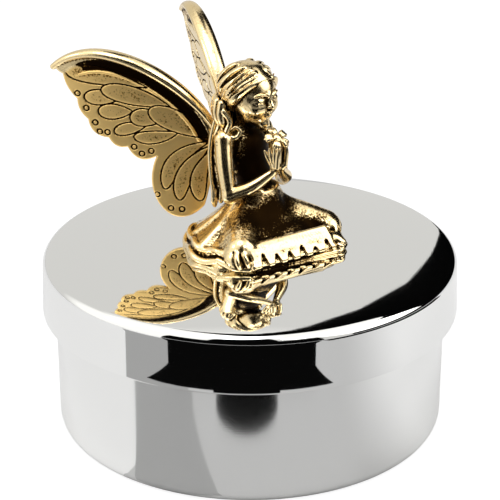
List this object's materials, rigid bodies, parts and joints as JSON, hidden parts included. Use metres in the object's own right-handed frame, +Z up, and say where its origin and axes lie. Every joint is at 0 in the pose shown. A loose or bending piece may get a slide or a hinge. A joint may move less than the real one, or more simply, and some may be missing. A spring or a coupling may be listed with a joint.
{
  "type": "keepsake box",
  "caption": "Round metal baby tooth box with a deep lift-off lid carrying a gilded seated fairy with butterfly wings, for keeping first teeth.",
  "frame": {"origin": "centre of the underside of the cup", "axes": "+Z up along the axis of the round box, the fairy faces -Y, +X to her left"},
  "size_m": [0.0504, 0.0504, 0.048],
  "materials": {
    "brushed_pewter": "turned and finely brushed round the wall",
    "polished_pewter": "mirror polished",
    "antique_gold": "gilded casting with dark patina in the recesses",
    "plated_steel": "zinc plated"
  },
  "bodies": {
    "box": {"box_body": "brushed_pewter"},
    "lid": {"lid": "polished_pewter", "fairy_figure": "antique_gold", "right_wing": "antique_gold", "left_wing": "antique_gold", "fixing_screw": "plated_steel", "fixing_washer": "plated_steel"}
  },
  "joints": [
    {"name": "lid_lift", "type": "slide", "parent": "box", "child": "lid", "axis": [0, 0, 1], "range_m": [0, 0.03]}
  ]
}
